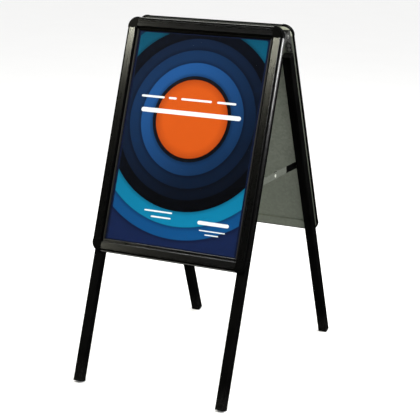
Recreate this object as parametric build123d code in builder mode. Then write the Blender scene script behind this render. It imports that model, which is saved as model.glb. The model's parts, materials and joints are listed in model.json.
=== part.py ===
from build123d import *
from math import cos, sin, radians
import os

os.makedirs("parts", exist_ok=True)

# Free-standing poster board: two A2 snap frames on square-tube legs, hinged near the top
# and held apart by a pair of folding stays.
# Millimetres. Z is up, X runs along the boards and the front board faces -Y.
# The origin is on the ground, midway between the two boards.

# ---- driving sizes ----
frame_width = 468.0
frame_height = 651.0
lean = 19.7               # each board from the vertical
leg_reach = 1007.0        # from the frame's top edge to the leg's lower end
top_gap = 35.0            # between the backs of the two boards, at their top edges
leg_size = 25.0
leg_wall = 1.5
leg_radius = 2.5
leg_top_drop = 80.0       # from the frame's top edge to the top of the leg
leg_inset = 6.0           # from the frame's side to the leg's outer face
hinge_drop = 27.0         # hinge axis below the frames' top back edges
stay_drop = 425.0         # stay's pivot on the leg, down from the frame's top edge
poster_width = 420.0
poster_height = 594.0
corner_size = 31.0
corner_radius = 27.0

# ---- levels through the frame, out from its back ----
tray_gauge = 0.8
rail_wall = 1.4
shelf_top = 4.75
poster_back = 4.8
poster_gauge = 0.25
cover_back = 5.1
cover_gauge = 0.5
cover_margin = 4.0         # past the poster, under the lips
lip_back = 5.95
lid_face = 14.0

# ---- snap lid and its hinge bead, across the rail: inward from its outer edge, out from its back ----
bead_inward = 6.6
bead_out = 10.6
bead_radius = 1.6
socket_bore = 1.66
socket_radius = 3.0
rail_inner_edge = 26.0
lip_start = 31.0
lip_end = 36.6
lid_gap = 0.4

# ---- backing tray ----
tray_margin = 4.0
tray_rim = 27.0           # from the frame's outer edge to the foot of the step
tray_taper = 25.0

# ---- fasteners ----
rivet_radius = 2.4
rivet_inward = 16.0       # rivets in the side rails, from the frame's side
leg_rivet_drops = (105.0, 570.0)
hinge_rivet_drops = (58.0, 70.0)
hole_clearance = 0.05
pin_radius = 3.0
pin_clearance = 0.05

# ---- hinge brackets ----
bracket_gauge = 2.5
bracket_side = 204.0      # nearest face to the middle of the board
bracket_width = 26.0
bracket_top_drop = 12.0
bracket_bottom_drop = 76.0
ear_bottom_drop = 50.0
knuckle_radius = 7.0

# ---- stays ----
link_height = 18.5
link_gauge = 2.0
front_link_side = 199.6   # inner faces of the links, from the middle of the board
rear_link_side = 197.2
stop_reach = 22.0         # the front link's end past the middle pivot
stop_start = 9.5
play = 0.3                # between a link and the heads of its rivets

half_width = frame_width / 2
half_height = frame_height / 2
leg_middle = half_width - leg_inset - leg_size / 2
leg_inner_face = half_width - leg_inset - leg_size
foot_flat = 1.9           # height taken off the plug's lowest edge to make a flat
top_height = leg_reach * cos(radians(lean)) + leg_size * sin(radians(lean)) - foot_flat

# A board's plane lies on its back: x along the board, y up it and z out of its face,
# with the origin in the middle of the frame's top edge.
boards = {
    "front": Plane(
        origin=(0, -top_gap / 2, top_height),
        x_dir=(1, 0, 0),
        z_dir=(0, -cos(radians(lean)), sin(radians(lean))),
    ),
    "rear": Plane(
        origin=(0, top_gap / 2, top_height),
        x_dir=(-1, 0, 0),
        z_dir=(0, cos(radians(lean)), sin(radians(lean))),
    ),
}
sides = {"left": -1, "right": 1}


def on_board(board, across, down, out=0.0):
    """A point of a board: across is along world X whichever way the board faces."""
    return board.from_local_coords((across * board.x_dir.X, -down, out))


def face_plane(board, across, down, out=0.0):
    """A plane parallel to the board's face, with y up the board."""
    return Plane(origin=on_board(board, across, down, out), x_dir=board.x_dir, z_dir=board.z_dir)


def section_plane(board, side):
    """The plane across a rail at its middle: x inward from its outer edge, y out from its back."""
    places = {
        "left": ((-half_width, half_height), Vector(1, 0, 0)),
        "right": ((half_width, half_height), Vector(-1, 0, 0)),
        "top": ((0, 0), board.y_dir * -1),
        "bottom": ((0, frame_height), board.y_dir),
    }
    (across, down), inward = places[side]
    return Plane(
        origin=on_board(board, across, down),
        x_dir=inward,
        z_dir=inward.cross(board.z_dir),
    )


def side_plane(board, across):
    """A plane across X with x down the board and y out from its back, at the top edge."""
    return Plane(
        origin=on_board(board, across, 0),
        x_dir=board.y_dir * -1,
        z_dir=board.x_dir * -1,
    )


def rail_length(side):
    """Between the two corner pieces."""
    if side in sides:
        return frame_height - 2 * corner_size
    return frame_width - 2 * corner_size


def save(builder, name):
    builder.part.label = name
    export_step(builder.part, f"parts/{name}.step")


def rivet_drops(side):
    """Where rivets pass through a side rail, down from the top edge."""
    if side in sides:
        return leg_rivet_drops + hinge_rivet_drops
    return ()


def make_base_rail(board, side):
    """Floor, outer wall that rounds over into the hinge socket, and a shelf for the poster."""
    floor_top = tray_gauge + rail_wall
    wall_top = 5.5
    shoulder_end = 3.7
    inner_wall = rail_inner_edge - rail_wall
    shelf_bottom = shelf_top - rail_wall
    shelf_start = 20.0
    mouth_reach = 5.0
    mouth_low_angle = 5.0
    mouth_high_angle = 165.0
    with BuildPart() as rail:
        with BuildSketch(section_plane(board, side)):
            with BuildLine():
                outer_wall = Line((0, tray_gauge), (0, wall_top))
                shoulder = TangentArc(
                    outer_wall @ 1,
                    (shoulder_end, bead_out),
                    tangent=outer_wall % 1,
                )
                Polyline(
                    shoulder @ 1,
                    (6.0, 9.0),
                    (rail_wall, 4.5),
                    (rail_wall, floor_top),
                    (inner_wall, floor_top),
                    (inner_wall, shelf_bottom),
                    (shelf_start, shelf_bottom),
                    (shelf_start, shelf_top),
                    (rail_inner_edge, shelf_top),
                    (rail_inner_edge, tray_gauge),
                    (0, tray_gauge),
                )
            make_face()
            with Locations((bead_inward, bead_out)):
                Circle(socket_radius)
                Circle(socket_bore, mode=Mode.SUBTRACT)
            # the socket's mouth, wide enough for the lid's neck to swing through
            with BuildLine(Plane((bead_inward, bead_out))) as mouth:
                low_lip = PolarLine((0, 0), mouth_reach, mouth_low_angle)
                high_lip = PolarLine((0, 0), mouth_reach, mouth_high_angle)
                Polyline(
                    low_lip @ 1,
                    (mouth_reach, mouth_reach),
                    (-mouth_reach + 0.2, mouth_reach),
                    high_lip @ 1,
                )
            make_face(mode=Mode.SUBTRACT)
        extrude(amount=rail_length(side) / 2, both=True)
        for drop in rivet_drops(side):
            across = sides[side] * (half_width - rivet_inward)
            with Locations(face_plane(board, across, drop, tray_gauge)):
                Cylinder(
                    rivet_radius + hole_clearance,
                    3 * rail_wall,
                    mode=Mode.SUBTRACT,
                )
    return rail


def corner_coordinates(board, side, end):
    """The frame's corner, and the signs that point inward along a face plane's x and y."""
    down = 0 if end == "upper" else frame_height
    inward = -sides[side] * board.x_dir.X
    downward = -1 if end == "upper" else 1
    return sides[side] * half_width, down, inward, downward


def lid_corners(side):
    """The two corners that a lid runs between."""
    if side in sides:
        return [(side, "upper"), (side, "lower")]
    end = "upper" if side == "top" else "lower"
    return [("left", end), ("right", end)]


def make_snap_lid(board, side):
    """Hinge bead and neck, flat face, a step down to the lip, and a round bead along the lip."""
    lip_gauge = 1.4
    underside = lid_face - lip_gauge
    outer_edge = 7.9
    inner_edge = 26.0
    wedge_depth = 8.0
    with BuildPart() as lid:
        with BuildSketch(section_plane(board, side)):
            with BuildLine():
                lip_bead = ThreePointArc((31.4, 7.35), (33.7, 9.2), (36.1, 7.2))
                Polyline(
                    lip_bead @ 1,
                    (lip_end, lip_back + 0.5),
                    (lip_end, lip_back),
                    (28.9, lip_back),
                    (24.9, underside),
                    (9.6, underside),
                    (7.13, 10.07),
                    (6.07, 11.13),
                    (7.6, underside),
                    (outer_edge, lid_face),
                    (inner_edge, lid_face),
                    (30.1, 7.35),
                    lip_bead @ 0,
                )
            face = make_face()
            fillet(face.vertices().group_by(Axis.Y)[-1], 0.6)
            with Locations((bead_inward, bead_out)):
                Circle(bead_radius)
        extrude(amount=rail_length(side) / 2 - lid_gap, both=True)
        # the lip is mitred against the lips of the two neighbouring lids
        wedge = [
            (lip_start, lip_start + lid_gap),
            (lip_start + wedge_depth, lip_start + wedge_depth + lid_gap),
            (lip_start + wedge_depth, lip_start - wedge_depth),
            (lip_start, lip_start - wedge_depth),
        ]
        for corner in lid_corners(side):
            across, down, inward, downward = corner_coordinates(board, *corner)
            if side not in sides:
                points = [(inward * along, downward * deep) for deep, along in wedge]
            else:
                points = [(inward * deep, downward * along) for deep, along in wedge]
            with BuildSketch(face_plane(board, across, down)):
                with BuildLine():
                    Polyline(*points, close=True)
                make_face()
            extrude(amount=lid_face + 1.0, mode=Mode.SUBTRACT)
    return lid


def make_springs(board):
    """Pairs of C-shaped leaves on the rails' floors, which push up under the lids' necks."""
    gauge = 0.6
    foot = tray_gauge + rail_wall + 0.05
    bend_inward = 15.4
    bend_radius = 4.15
    tip_inward = 10.9
    tip_out = 11.9
    width = 30.0
    spread_share = 0.27
    middle = foot + bend_radius
    inner_radius = bend_radius - gauge
    with BuildPart() as springs:
        for side in ("left", "right", "top", "bottom"):
            spread = rail_length(side) * spread_share
            for along in (-spread, spread):
                with BuildSketch(section_plane(board, side).offset(along)):
                    with BuildLine():
                        outer = ThreePointArc(
                            (bend_inward, foot),
                            (bend_inward + bend_radius, middle),
                            (bend_inward, middle + bend_radius),
                        )
                        inner = ThreePointArc(
                            (bend_inward, middle + inner_radius),
                            (bend_inward + inner_radius, middle),
                            (bend_inward, middle - inner_radius),
                        )
                        Polyline(outer @ 1, (tip_inward, tip_out), (tip_inward, tip_out - gauge), inner @ 0)
                        Polyline(inner @ 1, (tip_inward, foot + gauge), (tip_inward, foot), outer @ 0)
                    make_face()
                extrude(amount=width / 2, both=True)
    return springs


def make_corner_piece(board, side, end):
    """Moulded corner: rounded outside, a raised pad in line with the lids, and two tongues."""
    body_height = 11.4
    pad_height = 1.6
    pad_margin = 7.5
    edge_radius = 4.5
    relief_margin = cover_margin + 0.5
    relief_size = 20.0
    relief_across = half_width - poster_width / 2 - relief_margin + relief_size / 2
    relief_down = half_height - poster_height / 2 - relief_margin + relief_size / 2
    tongue_length = 20.0
    tongue_width = 8.6
    tongue_height = 4.2
    tongue_inward = 10.2
    across, down, inward, downward = corner_coordinates(board, side, end)
    base = face_plane(board, across, down, tray_gauge)
    with BuildPart() as corner:
        with BuildSketch(base):
            with Locations((inward * corner_size / 2, downward * corner_size / 2)):
                Rectangle(corner_size, corner_size)
            fillet(vertices().sort_by_distance((0, 0))[0], corner_radius)
        extrude(amount=body_height)
        top_face = faces().sort_by(Axis(base.origin, base.z_dir))[-1]
        outline = [
            edge
            for edge in top_face.edges()
            if min(abs(base.to_local_coords(edge.center()).X), abs(base.to_local_coords(edge.center()).Y))
            < corner_size / 2 - 1
        ]
        fillet(outline, edge_radius)
        with BuildSketch(base.offset(body_height)):
            pad_size = corner_size - pad_margin
            with Locations((inward * (pad_margin + pad_size / 2), downward * (pad_margin + pad_size / 2))):
                Rectangle(pad_size, pad_size)
            fillet(vertices().sort_by_distance((0, 0))[0], corner_radius - pad_margin)
        extrude(amount=pad_height)
        # room for the corners of the poster and its cover
        with BuildSketch(base):
            with Locations((inward * relief_across, downward * relief_down)):
                Rectangle(relief_size, relief_size)
        extrude(amount=lip_back - tray_gauge, mode=Mode.SUBTRACT)
        # tongues on the floors of the two rails
        tongue_middle = tongue_inward + tongue_width / 2
        tongue_reach = corner_size + tongue_length / 2 - 1
        with BuildSketch(base.offset(rail_wall + 0.05)):
            with Locations((inward * tongue_middle, downward * tongue_reach)):
                Rectangle(tongue_width, tongue_length + 2)
            with Locations((inward * tongue_reach, downward * tongue_middle)):
                Rectangle(tongue_length + 2, tongue_width)
        extrude(amount=tongue_height)
    return corner


def make_backing_tray(board):
    """Sheet-steel panel: a flat rim on the rails' backs and a middle pressed out to the poster."""
    wall_run = 0.9
    step_radius = 6.0
    back = face_plane(board, 0, half_height)
    step_width = frame_width - 2 * tray_rim
    step_height = frame_height - 2 * tray_rim
    with BuildPart() as tray:
        with BuildSketch(back):
            RectangleRounded(
                frame_width - 2 * tray_margin,
                frame_height - 2 * tray_margin,
                corner_radius - tray_margin,
            )
        extrude(amount=tray_gauge)
        with BuildSketch(back):
            RectangleRounded(step_width, step_height, step_radius)
        extrude(amount=poster_back, taper=tray_taper)
        with BuildSketch(back):
            RectangleRounded(
                step_width - 2 * wall_run,
                step_height - 2 * wall_run,
                step_radius - wall_run,
            )
        extrude(amount=poster_back - tray_gauge, taper=tray_taper, mode=Mode.SUBTRACT)
        for side in sides:
            across = sides[side] * (half_width - rivet_inward)
            for drop in leg_rivet_drops + hinge_rivet_drops:
                with Locations(face_plane(board, across, drop)):
                    Cylinder(rivet_radius + hole_clearance, 4 * tray_gauge, mode=Mode.SUBTRACT)
    return tray


def make_sheet(board, width, height, back, gauge):
    """A flat sheet in the frame."""
    with BuildPart() as sheet:
        with BuildSketch(face_plane(board, 0, half_height, back)):
            Rectangle(width, height)
        extrude(amount=gauge)
    return sheet


def leg_plane(board, side, drop):
    """Across a leg's middle, with z down the leg."""
    return Plane(
        origin=on_board(board, sides[side] * leg_middle, drop, -leg_size / 2),
        x_dir=board.x_dir,
        z_dir=board.y_dir * -1,
    )


plug_head = 4.0
cap_head = 2.5
plug_reach = 16.0
rivet_head_radius = 4.3
rivet_head_height = 1.9


def make_leg(board, side):
    """Square tube with holes for its rivets and for the stay's pivot."""
    tube_top = leg_top_drop + cap_head
    bore = leg_size - 2 * leg_wall
    with BuildPart() as leg:
        with BuildSketch(leg_plane(board, side, tube_top)):
            RectangleRounded(leg_size, leg_size, leg_radius)
            RectangleRounded(bore, bore, leg_radius - leg_wall, mode=Mode.SUBTRACT)
        extrude(amount=leg_reach - plug_head - tube_top)
        for drop in leg_rivet_drops:
            across = sides[side] * (half_width - rivet_inward)
            with Locations(face_plane(board, across, drop, -leg_size)):
                Cylinder(
                    rivet_radius + hole_clearance,
                    leg_size,
                    align=(Align.CENTER, Align.CENTER, Align.MIN),
                    mode=Mode.SUBTRACT,
                )
                Cone(
                    rivet_head_radius + hole_clearance,
                    rivet_radius + hole_clearance,
                    rivet_head_height,
                    align=(Align.CENTER, Align.CENTER, Align.MIN),
                    mode=Mode.SUBTRACT,
                )
        pivot = on_board(board, sides[side] * leg_inner_face, stay_drop, -leg_size / 2)
        with Locations(Plane(origin=pivot, z_dir=(1, 0, 0))):
            Cylinder(pin_radius + pin_clearance, 4 * leg_wall, mode=Mode.SUBTRACT)
    return leg


def make_leg_caps(board):
    """Plugs in the tops of the two legs."""
    tenon = leg_size - 2 * leg_wall - 0.1
    with BuildPart() as caps:
        for side in sides:
            with BuildSketch(leg_plane(board, side, leg_top_drop)):
                RectangleRounded(leg_size, leg_size, leg_radius)
            extrude(amount=cap_head)
            with BuildSketch(leg_plane(board, side, leg_top_drop + cap_head)):
                RectangleRounded(tenon, tenon, leg_radius - leg_wall)
            extrude(amount=plug_reach)
    return caps


def make_foot_plugs(board):
    """Plugs in the lower ends of the two legs, each with a narrow flat where it meets the ground."""
    tenon = leg_size - 2 * leg_wall - 0.1
    with BuildPart() as plugs:
        for side in sides:
            with BuildSketch(leg_plane(board, side, leg_reach - plug_head)):
                RectangleRounded(leg_size, leg_size, leg_radius)
            extrude(amount=plug_head)
            with BuildSketch(leg_plane(board, side, leg_reach - plug_head - plug_reach)):
                RectangleRounded(tenon, tenon, leg_radius - leg_wall)
            extrude(amount=plug_reach)
        split(bisect_by=Plane.XY, keep=Keep.TOP)
    return plugs


def rivet_plane(board, side, drop):
    """Through a rivet's axis, with x along the board and y out from its back."""
    across = sides[side] * (half_width - rivet_inward)
    return Plane(
        origin=on_board(board, across, drop),
        x_dir=board.x_dir,
        z_dir=board.y_dir * -1,
    )


def make_leg_rivets(board):
    """Countersunk rivets through leg, tray and rail, with their tails in the rail's channel."""
    floor_top = tray_gauge + rail_wall
    tail_radius = 3.6
    tail_height = 3.0
    with BuildPart() as rivets:
        for side in sides:
            for drop in leg_rivet_drops:
                plane = rivet_plane(board, side, drop)
                with BuildSketch(plane):
                    with BuildLine():
                        Polyline(
                            (0, -leg_size),
                            (rivet_head_radius, -leg_size),
                            (rivet_radius, -leg_size + rivet_head_height),
                            (rivet_radius, floor_top),
                            (tail_radius, floor_top),
                            (tail_radius, floor_top + tail_height - 1.0),
                            (tail_radius - 1.0, floor_top + tail_height),
                            (0, floor_top + tail_height),
                            close=True,
                        )
                    make_face()
                revolve(axis=Axis(plane.origin, plane.y_dir))
    return rivets


def make_hinge_rivets(board):
    """Dome-headed rivets that hold the hinge brackets."""
    floor_top = tray_gauge + rail_wall
    head_radius = 4.6
    head_height = 1.8
    tail_radius = 3.6
    tail_height = 2.4
    with BuildPart() as rivets:
        for side in sides:
            for drop in hinge_rivet_drops:
                plane = rivet_plane(board, side, drop)
                with BuildSketch(plane):
                    with BuildLine():
                        dome = ThreePointArc(
                            (0, -bracket_gauge - head_height),
                            (0.72 * head_radius, -bracket_gauge - 0.62 * head_height),
                            (head_radius, -bracket_gauge),
                        )
                        Polyline(
                            dome @ 1,
                            (rivet_radius, -bracket_gauge),
                            (rivet_radius, floor_top),
                            (tail_radius, floor_top),
                            (tail_radius, floor_top + tail_height),
                            (0, floor_top + tail_height),
                            dome @ 0,
                        )
                    make_face()
                revolve(axis=Axis(plane.origin, plane.y_dir))
    return rivets


# the hinge axis in a board's own terms
hinge_point = Vector(0, 0, top_height - hinge_drop)
hinge_down = -boards["front"].to_local_coords(hinge_point).Y
hinge_out = boards["front"].to_local_coords(hinge_point).Z
ear_gap = 0.5


def make_hinge_bracket(board, side, nested):
    """U bracket: a flange on the board's back and two ears that reach out to the hinge axis."""
    shrink = bracket_gauge + ear_gap if nested else 0.0
    width = bracket_width - 2 * shrink
    outer_bend = bracket_gauge + 0.6
    inner_bend = outer_bend - bracket_gauge
    ear_root = bracket_gauge + 2.0
    middle = sides[side] * (bracket_side + bracket_width / 2)
    depth = -hinge_out + knuckle_radius + 1.0
    across_plane = Plane(
        origin=on_board(board, middle, bracket_top_drop),
        x_dir=board.x_dir,
        z_dir=board.y_dir * -1,
    )
    with BuildPart() as bracket:
        with BuildSketch(across_plane):
            with Locations((0, -depth / 2)):
                Rectangle(width, depth)
            fillet(vertices().group_by(Axis.Y)[-1], outer_bend)
            with BuildSketch(mode=Mode.SUBTRACT):
                with Locations((0, -depth / 2 - bracket_gauge)):
                    Rectangle(width - 2 * bracket_gauge, depth)
                fillet(vertices().group_by(Axis.Y)[-1], inner_bend)
        extrude(amount=bracket_bottom_drop - bracket_top_drop)
        with BuildSketch(side_plane(board, middle)):
            with BuildLine():
                Polyline(
                    (bracket_top_drop, 0),
                    (ear_bottom_drop, 0),
                    (ear_bottom_drop, -ear_root),
                    (bracket_top_drop, -ear_root),
                    close=True,
                )
                CenterArc((hinge_down, hinge_out), knuckle_radius, 0, 360)
            make_hull()
            with Locations(((bracket_top_drop + bracket_bottom_drop) / 2, -bracket_gauge / 2)):
                Rectangle(bracket_bottom_drop - bracket_top_drop, bracket_gauge)
        extrude(amount=bracket_width, both=True, mode=Mode.INTERSECT)
        with Locations(Plane(origin=on_board(board, middle, hinge_down, hinge_out), z_dir=(1, 0, 0))):
            Cylinder(pin_radius + pin_clearance, 2 * bracket_width, mode=Mode.SUBTRACT)
        for drop in hinge_rivet_drops:
            across = sides[side] * (half_width - rivet_inward)
            with Locations(face_plane(board, across, drop)):
                Cylinder(rivet_radius + hole_clearance, 3 * bracket_gauge, mode=Mode.SUBTRACT)
    return bracket


def make_turned(side, centre_y, centre_z, steps):
    """A pin or rivet turned about a line along X: steps are (distance from the middle, radius)."""
    with BuildPart() as turned:
        with BuildSketch(Plane.XY.offset(centre_z)):
            with BuildLine():
                points = [(sides[side] * out, centre_y + radius) for out, radius in steps]
                ends = [(points[-1][0], centre_y), (points[0][0], centre_y)]
                Polyline(*points, *ends, close=True)
            make_face()
        revolve(axis=Axis((0, centre_y, centre_z), (1, 0, 0)))
    return turned


def make_hinge_pin(side):
    """Headed at both ends, through the four ears of one hinge."""
    head_radius = 5.0
    head_height = 2.0
    end_gap = 0.15
    inner = bracket_side - end_gap
    outer = bracket_side + bracket_width + end_gap
    steps = [
        (inner - head_height, head_radius - 0.8),
        (inner - head_height + 0.8, head_radius),
        (inner, head_radius),
        (inner, pin_radius),
        (outer, pin_radius),
        (outer, head_radius),
        (outer + head_height - 0.8, head_radius),
        (outer + head_height, head_radius - 0.8),
    ]
    return make_turned(side, hinge_point.Y, hinge_point.Z, steps)


# the stay's pivots, with the board open
stay_pivot = {
    name: on_board(board, 0, stay_drop, -leg_size / 2) for name, board in boards.items()
}
stay_height = stay_pivot["front"].Z


def make_front_link(side):
    """Flat link from the front leg: past the middle pivot it carries a tab that locks it straight."""
    sign = sides[side]
    pivot = stay_pivot["front"].Y
    top = link_height / 2
    tab_gap = 0.4
    tab_gauge = 2.0
    tab_overhang = 0.6
    lower_round = 4.0
    tail_radius = 4.5
    tail_height = 0.9
    tail_taper = 20.0
    with BuildPart() as link:
        with BuildSketch(Plane.YZ.offset(sign * front_link_side)):
            with Locations(((pivot + stop_reach) / 2, stay_height)):
                Rectangle(stop_reach - pivot, link_height)
            fillet(vertices().group_by(Axis.X)[-1].sort_by(Axis.Y)[0], lower_round)
            with Locations((pivot, stay_height)):
                Circle(top)
                Circle(pin_radius + pin_clearance, mode=Mode.SUBTRACT)
            tab_middle = (stop_start + stop_reach) / 2
            with Locations((tab_middle, stay_height + top + (tab_gap + tab_gauge) / 2)):
                Rectangle(stop_reach - stop_start, tab_gap + tab_gauge)
        extrude(amount=sign * link_gauge)
        # the tab, folded over the rear link's top edge
        with BuildSketch(Plane.YZ.offset(sign * (rear_link_side - tab_overhang))):
            with Locations((tab_middle, stay_height + top + tab_gap + tab_gauge / 2)):
                Rectangle(stop_reach - stop_start, tab_gauge)
        extrude(amount=sign * (front_link_side - rear_link_side + link_gauge + tab_overhang))
        # the middle pivot's riveted end
        with BuildSketch(Plane.YZ.offset(sign * (front_link_side + link_gauge))):
            with Locations((0, stay_height)):
                Circle(tail_radius)
        extrude(amount=sign * tail_height, taper=tail_taper)
    return link


def make_rear_link(side):
    """Flat link from the rear leg to the middle pivot."""
    sign = sides[side]
    pivot = stay_pivot["rear"].Y
    with BuildPart() as link:
        with BuildSketch(Plane.YZ.offset(sign * rear_link_side)):
            with Locations((pivot / 2, stay_height)):
                Rectangle(pivot, link_height)
            for along in (0, pivot):
                with Locations((along, stay_height)):
                    Circle(link_height / 2)
                    Circle(pin_radius + pin_clearance, mode=Mode.SUBTRACT)
        extrude(amount=sign * link_gauge)
    return link


def make_middle_rivet(side):
    """The stay's middle pivot: its shank ends flush in the rear link."""
    head_radius = 5.5
    head_height = 1.9
    steps = [
        (rear_link_side - head_height, head_radius - 1.0),
        (rear_link_side - head_height + 0.9, head_radius),
        (rear_link_side, head_radius),
        (rear_link_side, pin_radius),
        (rear_link_side + link_gauge, pin_radius),
    ]
    return make_turned(side, 0, stay_height, steps)


def make_stay_leg_rivets(name):
    """A rivet through each leg's inner wall, with a collar that sets the link off from the leg."""
    link_side = front_link_side if name == "front" else rear_link_side
    head_radius = 5.5
    head_height = 1.9
    tail_radius = 4.5
    wall_back = leg_inner_face + leg_wall
    pivot = stay_pivot[name]
    steps = [
        (link_side - play - head_height, head_radius - 1.0),
        (link_side - play - head_height + 0.9, head_radius),
        (link_side - play, head_radius),
        (link_side - play, pin_radius),
        (link_side + link_gauge + play, pin_radius),
        (link_side + link_gauge + play, head_radius),
        (leg_inner_face, head_radius),
        (leg_inner_face, pin_radius),
        (wall_back, pin_radius),
        (wall_back, tail_radius),
        (wall_back + 1.2, tail_radius),
        (wall_back + 1.6, tail_radius - 0.6),
    ]
    with BuildPart() as rivets:
        for side in sides:
            add(make_turned(side, pivot.Y, pivot.Z, steps).part)
    return rivets


for name, board in boards.items():
    for side in ("left", "right", "top", "bottom"):
        save(make_base_rail(board, side), f"{name}_{side}_base_rail")
        save(make_snap_lid(board, side), f"{name}_{side}_snap_lid")
    for side in sides:
        for end in ("upper", "lower"):
            save(make_corner_piece(board, side, end), f"{name}_{end}_{side}_corner")
        save(make_leg(board, side), f"{name}_{side}_leg")
        save(make_hinge_bracket(board, side, name == "rear"), f"{name}_{side}_hinge_bracket")
    save(make_springs(board), f"{name}_lid_springs")
    save(make_backing_tray(board), f"{name}_backing_tray")
    save(make_sheet(board, poster_width, poster_height, poster_back, poster_gauge), f"{name}_poster")
    cover_width = poster_width + 2 * cover_margin
    cover_height = poster_height + 2 * cover_margin
    save(make_sheet(board, cover_width, cover_height, cover_back, cover_gauge), f"{name}_clear_cover")
    save(make_leg_caps(board), f"{name}_leg_caps")
    save(make_foot_plugs(board), f"{name}_foot_plugs")
    save(make_leg_rivets(board), f"{name}_leg_rivets")
    save(make_hinge_rivets(board), f"{name}_hinge_rivets")
    save(make_stay_leg_rivets(name), f"{name}_stay_leg_rivets")

for side in sides:
    save(make_hinge_pin(side), f"{side}_hinge_pin")
    save(make_front_link(side), f"{side}_front_stay_link")
    save(make_rear_link(side), f"{side}_rear_stay_link")
    save(make_middle_rivet(side), f"{side}_stay_middle_rivet")
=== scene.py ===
import json
import math

import bpy
import numpy as np
from mathutils import Matrix, Vector


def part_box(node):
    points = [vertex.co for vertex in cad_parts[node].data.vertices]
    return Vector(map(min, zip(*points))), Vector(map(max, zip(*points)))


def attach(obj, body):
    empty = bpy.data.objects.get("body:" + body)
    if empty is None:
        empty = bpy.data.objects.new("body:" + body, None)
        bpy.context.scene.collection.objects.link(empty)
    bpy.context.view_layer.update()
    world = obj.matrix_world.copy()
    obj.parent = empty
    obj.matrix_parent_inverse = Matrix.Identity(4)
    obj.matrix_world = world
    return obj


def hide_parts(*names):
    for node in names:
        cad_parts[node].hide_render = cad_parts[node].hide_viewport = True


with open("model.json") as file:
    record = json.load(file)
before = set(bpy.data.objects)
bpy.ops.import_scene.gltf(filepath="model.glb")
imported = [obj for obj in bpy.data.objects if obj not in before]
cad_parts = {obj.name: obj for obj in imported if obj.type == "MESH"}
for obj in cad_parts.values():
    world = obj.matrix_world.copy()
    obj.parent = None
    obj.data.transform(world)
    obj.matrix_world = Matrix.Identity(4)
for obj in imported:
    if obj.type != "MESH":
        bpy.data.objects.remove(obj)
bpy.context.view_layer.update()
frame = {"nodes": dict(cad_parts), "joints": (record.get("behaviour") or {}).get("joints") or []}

nodes = frame["nodes"]
jointByName = {joint["name"]: joint for joint in frame["joints"]}
boards = ("front", "rear")
sides = ("left", "right")
print("loaded", len(nodes), "nodes")


viewCamera = {
    "place": (1.6670, -3.2550, 1.4037),
    "turn": 27.06,      # degrees about the vertical, from looking along +Y
    "tilt": 14.92,      # degrees below level
    "roll": 0.37,
    "lens": 116.3,
    "sensor": 36.0,
    "clip": (0.05, 200.0),
}


def placeCamera():
    data = bpy.data.cameras.new("viewCamera")
    data.lens = viewCamera["lens"]
    data.sensor_width = viewCamera["sensor"]
    data.clip_start, data.clip_end = viewCamera["clip"]
    camera = bpy.data.objects.new("viewCamera", data)
    bpy.context.scene.collection.objects.link(camera)
    turn = Matrix.Rotation(math.radians(viewCamera["turn"]), 4, "Z")
    tilt = Matrix.Rotation(math.radians(90.0 - viewCamera["tilt"]), 4, "X")
    roll = Matrix.Rotation(math.radians(viewCamera["roll"]), 4, "Z")
    camera.matrix_world = Matrix.Translation(Vector(viewCamera["place"])) @ turn @ tilt @ roll
    bpy.context.scene.camera = camera


softboxes = {
    # out to the left: its shine runs down the side rails from the top and misses the level ones
    "railBox": {"place": (-2.15, -1.80, 2.25), "aim": (0.0, 0.0, 0.80), "size": (0.75, 0.30), "watts": 34.0,
                "tint": (1.0, 0.99, 0.80)},
    "rightBox": {"place": (2.30, 0.42, 1.16), "aim": (0.0, 0.0, 0.80), "size": (1.00, 0.45), "watts": 40.0},
    "topBox": {"place": (0.45, -0.90, 3.10), "aim": (0.0, 0.0, 0.30), "size": (2.20, 2.00), "watts": 46.0},
    # overhead, a little left: a thin line along the shoulders of the level rails
    "lineBox": {"place": (-1.46, 0.10, 3.68), "aim": (0.0, 0.0, 0.80), "size": (0.50, 0.90), "watts": 10.0},
    "backBox": {"place": (0.90, 2.00, 2.75), "aim": (0.0, 0.0, 0.60), "size": (1.40, 0.90), "watts": 28.0},
}
plainWhite = (1.0, 1.0, 1.0)    # for a lamp with no tint, and for what a blend leaves alone


def addSoftbox(name, settings):
    data = bpy.data.lights.new(name, "AREA")
    data.shape = "RECTANGLE"
    data.size, data.size_y = settings["size"]
    data.energy = settings["watts"]
    data.color = settings.get("tint", plainWhite)
    lamp = bpy.data.objects.new(name, data)
    bpy.context.scene.collection.objects.link(lamp)
    place = Vector(settings["place"])
    facing = (Vector(settings["aim"]) - place).to_track_quat("-Z", "Y")
    lamp.matrix_world = Matrix.Translation(place) @ facing.to_matrix().to_4x4()
    lamp.visible_camera = False


studio = {
    "seen": 1.0,        # the pale room as the camera sees it
    "fill": 0.98,       # and as it lights the object
    "inGloss": 0.010,   # and as shiny black surfaces mirror it
}


def lightRoom():
    world = bpy.data.worlds.new("paleRoom")
    world.use_nodes = True
    bpy.context.scene.world = world
    tree = world.node_tree
    tree.nodes.clear()
    path = tree.nodes.new("ShaderNodeLightPath")
    room = {}
    for share in ("fill", "inGloss", "seen"):
        room[share] = tree.nodes.new("ShaderNodeBackground")
        room[share].inputs["Color"].default_value = (1.0, 1.0, 1.0, 1.0)
        room[share].inputs["Strength"].default_value = studio[share]
    shine = tree.nodes.new("ShaderNodeMixShader")
    view = tree.nodes.new("ShaderNodeMixShader")
    output = tree.nodes.new("ShaderNodeOutputWorld")
    tree.links.new(path.outputs["Is Glossy Ray"], shine.inputs[0])
    tree.links.new(room["fill"].outputs[0], shine.inputs[1])
    tree.links.new(room["inGloss"].outputs[0], shine.inputs[2])
    tree.links.new(path.outputs["Is Camera Ray"], view.inputs[0])
    tree.links.new(shine.outputs[0], view.inputs[1])
    tree.links.new(room["seen"].outputs[0], view.inputs[2])
    tree.links.new(view.outputs[0], output.inputs["Surface"])
    bpy.context.scene.view_settings.view_transform = "Standard"


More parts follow.
